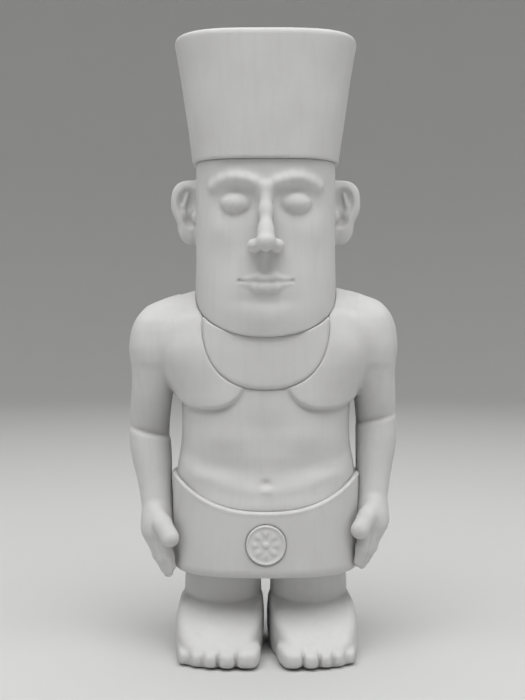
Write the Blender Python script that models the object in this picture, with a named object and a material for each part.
"""Tiki figure: a carved wooden figure in separate pieces, pinned together with dowels.

The figure faces -Y and stands on two felt pads at z = 0. It is built round the neck's axis, and then the
whole of it is shifted along Y so that its bounding box is centred on the origin. Lengths are in metres.
"""

import math

import bmesh
import bpy
from mathutils import Matrix, Vector

# Driving dimensions, from the floor up.
HEIGHT = 0.300
GAP = 0.0003
SOLE = GAP
PAD_TOP = 0.0012
HEM = 0.039
HIP_BASE = 0.041
WAIST = 0.107
JAW_BASE = 0.1540
JAW_TOP = 0.1760
COLLAR_TOP = 0.1610
SHOULDER_TOP = 0.1765
CROWN = 0.2385
HAT_BASE = CROWN + GAP

# Half widths and the places that pieces share.
HAT_TOP_HALF = 0.0453
HAT_BASE_HALF = 0.0368
HEAD_HALF = 0.0347
COLLAR_HALF = 0.0305
COLLAR_DEPTH = 0.0325
COLLAR_BACK = 0.0215
SKIRT_HALF = 0.0465
SKIRT_FRONT = 0.0375
SKIRT_BACK = 0.0345
SKIRT_WALL = 0.0045
SKIRT_POWER = 2.6
SHOULDER_SEAM = 0.0450
LEG_X = 0.0214
NOSE_TIP = 0.0480
TOE_TIP = 0.0500
HAT_BACK = 0.0430
RIM_SIDE = 0.0862
RIM_DIP = 0.0154

# The plaque.
EMBLEM_Z = 0.0555
EMBLEM_RADIUS = 0.0095

# The dowels' ends on the figure's left side and their radii. A limb's dowel is repeated on the right.
THICK_DOWEL = 0.006
THIN_DOWEL = 0.0045
HAT_DOWEL = ((0, 0, 0.2120), (0, 0, 0.2620), THICK_DOWEL)
NECK_DOWEL = ((0, 0, 0.1050), (0, 0, 0.1850), THICK_DOWEL)
SHOULDER_DOWEL = ((0.0350, 0.002, 0.1400), (0.0580, 0.002, 0.1400), THIN_DOWEL)
LEG_DOWEL = ((LEG_X, 0.001, 0.0200), (LEG_X, 0.001, 0.0620), THIN_DOWEL)

RING_POINTS = 40
PAINT = ("painted_wood", (0.62, 0.62, 0.61), 0.72)
BARE_WOOD = ("dowel_wood", (0.55, 0.38, 0.22), 0.60)
FELT = ("felt", (0.05, 0.05, 0.05), 0.95)


def clear_scene():
    for obj in list(bpy.data.objects):
        bpy.data.objects.remove(obj)


def material(spec):
    name, colour, roughness = spec
    found = bpy.data.materials.get(name)
    if found:
        return found
    made = bpy.data.materials.new(name)
    made.use_nodes = True
    shader = made.node_tree.nodes["Principled BSDF"]
    shader.inputs["Base Color"].default_value = (*colour, 1.0)
    shader.inputs["Roughness"].default_value = roughness
    shader.inputs["Metallic"].default_value = 0.0
    return made


def new_object(name, bm, spec, smooth_angle=math.radians(40)):
    """Makes an object of a bmesh, with its faces pointing out and round faces shaded smooth."""
    bmesh.ops.recalc_face_normals(bm, faces=bm.faces)
    mesh = bpy.data.meshes.new(name)
    bm.to_mesh(mesh)
    bm.free()
    mesh.shade_smooth()
    mesh.set_sharp_from_angle(angle=smooth_angle)
    mesh.materials.append(material(spec))
    obj = bpy.data.objects.new(name, mesh)
    bpy.context.scene.collection.objects.link(obj)
    return obj


def oval(half_width, front, back, power, centre=(0.0, 0.0), count=RING_POINTS):
    """Points of a superellipse in plan, anticlockwise, with its own depth in front and behind."""
    points = []
    for i in range(count):
        angle = 2 * math.pi * i / count
        c, s = math.cos(angle), math.sin(angle)
        x = half_width * math.copysign(abs(c) ** (2 / power), c)
        depth = back if s > 0 else front
        y = depth * math.copysign(abs(s) ** (2 / power), s)
        points.append((centre[0] + x, centre[1] + y))
    return points


def level(points, z):
    return [Vector((x, y, z)) for x, y in points]


def skin(name, rings, spec=PAINT, closed=False):
    """A solid through rings of equal length: capped at both ends, or closed on itself like a tyre."""
    bm = bmesh.new()
    loops = [[bm.verts.new(p) for p in ring] for ring in rings]
    pairs = list(zip(loops, loops[1:]))
    if closed:
        pairs.append((loops[-1], loops[0]))
    else:
        bm.faces.new(loops[0])
        bm.faces.new(loops[-1])
    for low, high in pairs:
        for i in range(len(low)):
            j = (i + 1) % len(low)
            bm.faces.new((low[i], low[j], high[j], high[i]))
    return new_object(name, bm, spec)


def loft(name, sections, spec=PAINT):
    """A solid through level ovals: each section is z, half width, front, back, power and centre."""
    rings = []
    for z, half_width, front, back, power, centre in sections:
        rings.append(level(oval(half_width, front, back, power, centre), z))
    return skin(name, rings, spec)


def rod(name, start, end, radius, spec=BARE_WOOD, segments=24):
    """A round rod between two points."""
    start, end = Vector(start), Vector(end)
    along = end - start
    turn = along.to_track_quat("Z", "Y").to_matrix().to_4x4()
    place = Matrix.Translation((start + end) / 2) @ turn
    bm = bmesh.new()
    bmesh.ops.create_cone(bm, cap_ends=True, segments=segments, radius1=radius, radius2=radius,
                          depth=along.length, matrix=place)
    return new_object(name, bm, spec)


def ball(name, centre, radii, segments=14):
    """An ellipsoid with its three half axes."""
    place = Matrix.Translation(centre) @ Matrix.Diagonal((*radii, 1))
    bm = bmesh.new()
    bmesh.ops.create_uvsphere(bm, u_segments=segments, v_segments=segments // 2 + 1, radius=1.0, matrix=place)
    return new_object(name, bm, PAINT)


def block(name, low, high):
    """A box from its lowest to its highest corner."""
    low, high = Vector(low), Vector(high)
    place = Matrix.Translation((low + high) / 2) @ Matrix.Diagonal((*(high - low), 1))
    bm = bmesh.new()
    bmesh.ops.create_cube(bm, size=1.0, matrix=place)
    return new_object(name, bm, PAINT)


def combine(obj, other, operation):
    """Adds a Boolean to obj, and turns the other object into its hidden tool."""
    other.hide_render = True
    other.display_type = "WIRE"
    modifier = obj.modifiers.new(other.name, "BOOLEAN")
    modifier.operation = operation
    modifier.solver = "EXACT"
    modifier.object = other
    return obj


def cut(obj, *tools):
    for tool in tools:
        combine(obj, tool, "DIFFERENCE")
    return obj


def join(obj, *others):
    for other in others:
        combine(obj, other, "UNION")
    return obj


def mirrored(points, side):
    """Points for the figure's left side (side = 1) or its right side (side = -1)."""
    return [Vector((side * p[0], p[1], p[2])) for p in points]


def make_dowel(name, dowel, side=1):
    """A dowel, and the bore that its neighbours are drilled with: longer and wider by the gap."""
    start, end = mirrored(dowel[:2], side)
    radius = dowel[2]
    clearance = (end - start).normalized() * GAP
    rod(f"{name}_bore", start - clearance, end + clearance, radius + GAP, PAINT)
    return rod(name, start, end, radius)


def drill(obj, *dowel_names):
    return cut(obj, *(bpy.data.objects[f"{name}_bore"] for name in dowel_names))


# Hat and head


def make_hat():
    """A tall flared crown with rounded corners in plan, and a blind socket for its dowel."""
    middle = 0.003
    sections = []
    for z, share, inset in ((HAT_BASE, 0.0, 0.0012), (HAT_BASE + 0.0015, 0.02, 0.0), (0.2960, 1.0, 0.0),
                            (0.2986, 1.0, 0.0010), (HEIGHT, 1.0, 0.0034)):
        half_width = HAT_BASE_HALF + share * (HAT_TOP_HALF - HAT_BASE_HALF) - inset
        front = 0.0368 + middle + share * 0.0032 - inset
        back = 0.0360 - middle + share * (HAT_BACK - 0.0360) - inset
        sections.append((z, half_width, front, back, 3.0, (0.0, middle)))
    return drill(loft("hat", sections), "hat_dowel")


HEAD_SECTIONS = (
    (JAW_BASE - 0.005, 0.0340, 0.0325, 2.6),
    (0.1580, 0.0356, 0.0334, 2.7),
    (0.1650, 0.0362, 0.0340, 2.8),
    (JAW_TOP, 0.0360, 0.0342, 2.9),
    (0.1900, 0.0350, 0.0343, 3.0),
    (0.2150, 0.0345, 0.0345, 3.0),
    (CROWN, 0.0345, 0.0345, 3.0),
)


def u_prism(name, half_width, top, depth, power, back=0.060):
    """A U in front view that is open above, carried straight through from front to back."""
    outline = []
    for i in range(RING_POINTS // 2 + 1):
        angle = math.pi * i / (RING_POINTS // 2)
        c, s = math.cos(angle), math.sin(angle)
        x = half_width * math.copysign(abs(c) ** (2 / power), c)
        outline.append((x, top - depth * abs(s) ** (2 / power)))
    outline += [(-half_width, 0.260), (half_width, 0.260)]
    return skin(name, [[Vector((x, y, z)) for x, z in outline] for y in (-0.060, back)])


def head_block(name, grow):
    """The plain block of the head, which narrows to a U-shaped jaw in front view."""
    sections = []
    for z, front, back, power in HEAD_SECTIONS:
        sections.append((z, HEAD_HALF + grow, front + grow, back + grow, power, (0.0, 0.0)))
    jaw = u_prism(f"{name}_jaw_limit", HEAD_HALF + grow + 0.0001, JAW_TOP, JAW_TOP - JAW_BASE + grow, 2.2)
    return combine(loft(name, sections), jaw, "INTERSECT")


def make_head():
    """The head block with its nose, bored above and below for the dowels."""
    nose = loft("nose_block", [
        (0.1925, 0.0070, 0.0120, 0.004, 2.2, (0.0, -0.0330)),
        (0.1955, 0.0088, NOSE_TIP - 0.0330, 0.004, 2.2, (0.0, -0.0330)),
        (0.2010, 0.0066, 0.0128, 0.004, 2.2, (0.0, -0.0330)),
        (0.2110, 0.0048, 0.0078, 0.004, 2.2, (0.0, -0.0330)),
        (0.2205, 0.0040, 0.0042, 0.004, 2.2, (0.0, -0.0330)),
    ])
    return drill(join(head_block("head", 0.0), nose), "neck_dowel", "hat_dowel")


def make_ear(name, side):
    """A cupped ear that is glued to the flat side of the head."""
    rings = []
    for x, half_depth, half_height, z in ((0.0350, 0.0042, 0.0125, 0.2140), (0.0385, 0.0052, 0.0165, 0.2150),
                                          (0.0430, 0.0050, 0.0160, 0.2165), (0.0460, 0.0035, 0.0120, 0.2180),
                                          (0.0475, 0.0015, 0.0060, 0.2190)):
        ring = []
        for i in range(20):
            angle = 2 * math.pi * i / 20
            ring.append((x, 0.002 + half_depth * math.cos(angle), z + half_height * math.sin(angle)))
        rings.append(mirrored(ring, side))
    return skin(name, rings)


# Torso, collar and skirt


def make_collar():
    """The broad collar between jaw and chest: a U in front view, hollowed above to seat the head."""
    collar = loft("collar", [
        (COLLAR_TOP - COLLAR_DEPTH - 0.005, 0.0400, 0.0338, COLLAR_BACK, 2.3, (0.0, 0.0)),
        (0.1345, 0.0400, 0.0352, COLLAR_BACK, 2.3, (0.0, 0.0)),
        (0.1450, 0.0400, 0.0348, COLLAR_BACK, 2.3, (0.0, 0.0)),
        (COLLAR_TOP, 0.0400, 0.0335, COLLAR_BACK, 2.3, (0.0, 0.0)),
    ])
    limit = u_prism("collar_limit", COLLAR_HALF, COLLAR_TOP, COLLAR_DEPTH, 2.4)
    combine(collar, limit, "INTERSECT")
    return drill(cut(collar, head_block("collar_seat_cutter", GAP)), "neck_dowel")


def rim_height(x, y):
    """The skirt's upper edge: level at the sides and back, and dipping under the belly in front."""
    if y > 0:
        return RIM_SIDE
    return RIM_SIDE - RIM_DIP * (1 - min(1.0, abs(x) / SKIRT_HALF) ** 2.5)


def skirt_ring(inset, top):
    """A ring of the wrap, in from its outer face, and raised from its upper edge by top."""
    outer = oval(SKIRT_HALF, SKIRT_FRONT, SKIRT_BACK, SKIRT_POWER)
    points = oval(SKIRT_HALF - inset, SKIRT_FRONT - inset, SKIRT_BACK - inset, SKIRT_POWER)
    heights = [rim_height(x, y) + top for x, y in outer]
    return [Vector((x, y, z)) for (x, y), z in zip(points, heights)]


def level_ring(inset, z):
    """A ring of the wrap at one height."""
    return level(oval(SKIRT_HALF - inset, SKIRT_FRONT - inset, SKIRT_BACK - inset, SKIRT_POWER), z)


def make_skirt():
    """The wrap round the hips, with a shallow round recess for the emblem."""
    rings = [level_ring(0.0012, HEM), level_ring(0.0, HEM + 0.005), skirt_ring(0.0, -0.001),
             skirt_ring(0.0008, 0.0), skirt_ring(SKIRT_WALL, 0.0), level_ring(SKIRT_WALL, HEM)]
    recess = rod("emblem_recess_cutter", (0, -0.0360, EMBLEM_Z), (0, -0.0500, EMBLEM_Z), EMBLEM_RADIUS + GAP)
    return cut(skin("skirt", rings, closed=True), recess)


def make_skirt_room():
    """What the torso gives up so that the wrap fits round its hips."""
    beyond = -0.010
    below = HIP_BASE - 0.010
    inside = SKIRT_WALL + GAP
    rings = [level_ring(beyond, below), skirt_ring(beyond, GAP)]
    rings += [skirt_ring(inside, GAP), level_ring(inside, below)]
    return skin("skirt_room_cutter", rings, closed=True)


def make_emblem():
    """A plain round plaque in the skirt's recess."""
    return rod("emblem", (0, -0.0363, EMBLEM_Z), (0, -0.0386, EMBLEM_Z), EMBLEM_RADIUS, PAINT, 28)


TORSO_SECTIONS = (
    (HIP_BASE, 0.0462, 0.0345, 0.0325, 2.5),
    (0.0600, 0.0466, 0.0362, 0.0335, 2.5),
    (0.0760, 0.0462, 0.0368, 0.0334, 2.5),
    (0.0850, 0.0450, 0.0364, 0.0326, 2.5),
    (0.0930, 0.0434, 0.0345, 0.0300, 2.4),
    (WAIST, 0.0418, 0.0318, 0.0272, 2.4),
    (0.1180, 0.0426, 0.0312, 0.0282, 2.4),
    (0.1225, 0.0440, 0.0335, 0.0288, 2.5),
    (0.1350, 0.0500, 0.0345, 0.0312, 2.7),
    (0.1480, 0.0580, 0.0310, 0.0330, 2.7),
    (0.1600, 0.0580, 0.0260, 0.0326, 2.6),
    (0.1680, 0.0540, 0.0200, 0.0290, 2.5),
    (0.1730, 0.0470, 0.0130, 0.0240, 2.4),
    (SHOULDER_TOP, 0.0370, 0.0050, 0.0180, 2.2),
)


def shoulder_cutter(name, side, start, end, bottom):
    """A block that leaves a flat shoulder joint, from start to end outwards and from bottom up."""
    low, high = sorted((side * start, side * end))
    return block(name, (low, -0.050, bottom), (high, 0.050, 0.190))


def make_torso():
    """Chest, belly and the hip plug inside the skirt, bored for every dowel."""
    torso = loft("torso", [(*section, (0.0, 0.0)) for section in TORSO_SECTIONS])
    pocket = u_prism("collar_pocket_cutter", COLLAR_HALF + GAP, COLLAR_TOP, COLLAR_DEPTH + GAP, 2.4,
                     COLLAR_BACK + GAP)
    tools = [make_skirt_room(), pocket, head_block("torso_seat_cutter", GAP)]
    for name, side in (("left", 1), ("right", -1)):
        tools.append(shoulder_cutter(f"{name}_shoulder_cutter", side, SHOULDER_SEAM - GAP / 2, 0.080, 0.120))
    cut(torso, *tools)
    return drill(torso, "neck_dowel", "shoulder_dowel_left", "shoulder_dowel_right",
                 "leg_dowel_left", "leg_dowel_right")


# Arms and legs


ARM_SECTIONS = (
    # Height, inner and outer edge, how far back the middle is, and half the depth.
    (0.1735, 0.0430, 0.0475, 0.0040, 0.0070),
    (0.1712, 0.0400, 0.0525, 0.0020, 0.0140),
    (0.1660, 0.0380, 0.0605, 0.0010, 0.0195),
    (0.1600, 0.0370, 0.0647, 0.0000, 0.0215),
    (0.1490, 0.0380, 0.0674, 0.0000, 0.0225),
    (0.1360, 0.0420, 0.0664, 0.0010, 0.0205),
    (0.1230, 0.0455, 0.0668, 0.0035, 0.0175),
    (0.1060, 0.0472, 0.0674, 0.0060, 0.0152),
    (0.0900, 0.0475, 0.0662, 0.0020, 0.0135),
    (0.0770, 0.0471, 0.0632, -0.0035, 0.0112),
    (0.0670, 0.0470, 0.0618, -0.0080, 0.0098),
    (0.0570, 0.0468, 0.0628, -0.0115, 0.0105),
    (0.0480, 0.0462, 0.0590, -0.0145, 0.0096),
    (0.0400, 0.0462, 0.0545, -0.0165, 0.0078),
    (0.0352, 0.0460, 0.0512, -0.0170, 0.0050),
)
THUMB_SECTIONS = (
    # Height, the middle across and forward, and the radius.
    (0.0680, 0.0545, -0.0150, 0.0035),
    (0.0620, 0.0530, -0.0205, 0.0047),
    (0.0550, 0.0500, -0.0235, 0.0050),
    (0.0505, 0.0482, -0.0245, 0.0042),
    (0.0486, 0.0476, -0.0248, 0.0020),
)


def make_arm(name, side):
    """Shoulder cap, arm, hand and thumb in one piece, flat where it meets the torso."""
    rings = []
    for z, inner, outer, y, half_depth in ARM_SECTIONS:
        half_width = 0.5 * (outer - inner)
        ring = oval(half_width, half_depth, half_depth, 2.3, (inner + half_width, y), 24)
        rings.append(mirrored(level(ring, z), side))
    thumb_rings = []
    for z, x, y, radius in THUMB_SECTIONS:
        thumb_rings.append(mirrored(level(oval(radius, radius, radius, 2.0, (x, y), 14), z), side))
    arm = join(skin(name, rings), skin(f"{name}_thumb", thumb_rings))
    cut(arm, shoulder_cutter(f"{name}_seam_cutter", side, 0.020, SHOULDER_SEAM + GAP / 2, 0.115))
    return drill(arm, name.replace("arm", "shoulder_dowel"))


TOE_HALF_LENGTH = 0.0090
TOES = (
    # Across the foot from its middle, how far the tip is short of the longest one, half width and half height.
    (-0.0128, 0.0000, 0.0066, 0.0056),
    (-0.0030, 0.0006, 0.0052, 0.0048),
    (0.0050, 0.0022, 0.0046, 0.0044),
    (0.0120, 0.0046, 0.0044, 0.0040),
    (0.0175, 0.0084, 0.0040, 0.0036),
)
LEG_SECTIONS = (
    # Height, half width, front, back, power, and how far out the middle is.
    (SOLE, 0.0190, 0.0445, 0.0190, 3.2, 0.0012),
    (0.0045, 0.0205, 0.0475, 0.0205, 3.2, 0.0012),
    (0.0090, 0.0208, 0.0455, 0.0208, 3.1, 0.0012),
    (0.0140, 0.0206, 0.0385, 0.0206, 2.8, 0.0010),
    (0.0200, 0.0198, 0.0270, 0.0198, 2.4, 0.0006),
    (0.0245, 0.0190, 0.0195, 0.0190, 2.3, 0.0002),
    (0.0320, 0.0185, 0.0180, 0.0180, 2.2, 0.0000),
    (HIP_BASE - GAP, 0.0182, 0.0175, 0.0175, 2.2, 0.0000),
)


def level_pad(name, top, grow, spec=FELT):
    """A flat oval slab from the ground up: the felt under a sole, or with some room the recess that it sits in."""
    half_width, front, back = 0.0150 + grow, 0.0330 + grow, 0.0140 + grow
    sections = [(z, half_width, front, back, 2.5, (0.0, 0.0)) for z in (0.0, top)]
    return loft(name, sections, spec)


def stand(obj, side, toe_out):
    """Sets a foot's piece under its leg and turns it out a little."""
    obj.location = (side * LEG_X, 0.0, 0.0)
    obj.rotation_euler = (0.0, 0.0, side * toe_out)
    return obj


def make_leg(name, side, toe_out):
    """A short leg and a broad bare foot, recessed under the sole for its felt."""
    leg = loft(name, [(*section[:5], (side * section[5], 0.001)) for section in LEG_SECTIONS])
    reach = (TOE_TIP - TOE_HALF_LENGTH + TOES[0][0] * math.sin(toe_out)) / math.cos(toe_out)
    for i, (across, short, half_width, half_height) in enumerate(TOES):
        forward = reach - short
        centre = (side * across, -forward, SOLE + half_height)
        toe = ball(f"{name}_toe_{i + 1}", centre, (half_width, TOE_HALF_LENGTH, half_height))
        toe.parent = leg
        join(leg, toe)
    recess = level_pad(f"{name}_recess", PAD_TOP + GAP, GAP)
    recess.parent = leg
    cut(leg, recess)
    stand(leg, side, toe_out)
    return drill(leg, name.replace("leg", "leg_dowel"))


def make_pad(name, side, toe_out):
    """The felt pad under a sole."""
    return stand(level_pad(name, PAD_TOP, 0.0), side, toe_out)


def front_and_back(pieces):
    """The lowest and the highest y of the finished pieces."""
    graph = bpy.context.evaluated_depsgraph_get()
    reaches = []
    for obj in pieces:
        done = obj.evaluated_get(graph)
        reaches += [(done.matrix_world @ vertex.co).y for vertex in done.to_mesh().vertices]
        done.to_mesh_clear()
    return min(reaches), max(reaches)


def main():
    clear_scene()
    pieces = [make_dowel("hat_dowel", HAT_DOWEL), make_dowel("neck_dowel", NECK_DOWEL)]
    for name, side in (("left", 1), ("right", -1)):
        pieces.append(make_dowel(f"shoulder_dowel_{name}", SHOULDER_DOWEL, side))
        pieces.append(make_dowel(f"leg_dowel_{name}", LEG_DOWEL, side))
    pieces += [make_hat(), make_head(), make_torso(), make_collar(), make_skirt(), make_emblem()]
    for name, side, toe_out in (("left", 1, math.radians(7)), ("right", -1, math.radians(2))):
        pieces.append(make_ear(f"ear_{name}", side))
        pieces.append(make_arm(f"arm_{name}", side))
        pieces.append(make_leg(f"leg_{name}", side, toe_out))
        pieces.append(make_pad(f"foot_pad_{name}", side, toe_out))
    figure = bpy.data.objects.new("figure", None)
    bpy.context.scene.collection.objects.link(figure)
    for obj in list(bpy.data.objects):
        if obj.parent is None and obj is not figure:
            obj.parent = figure
    front, back = front_and_back(pieces)
    figure.location = (0.0, -(front + back) / 2, 0.0)
    bpy.context.view_layer.update()


main()
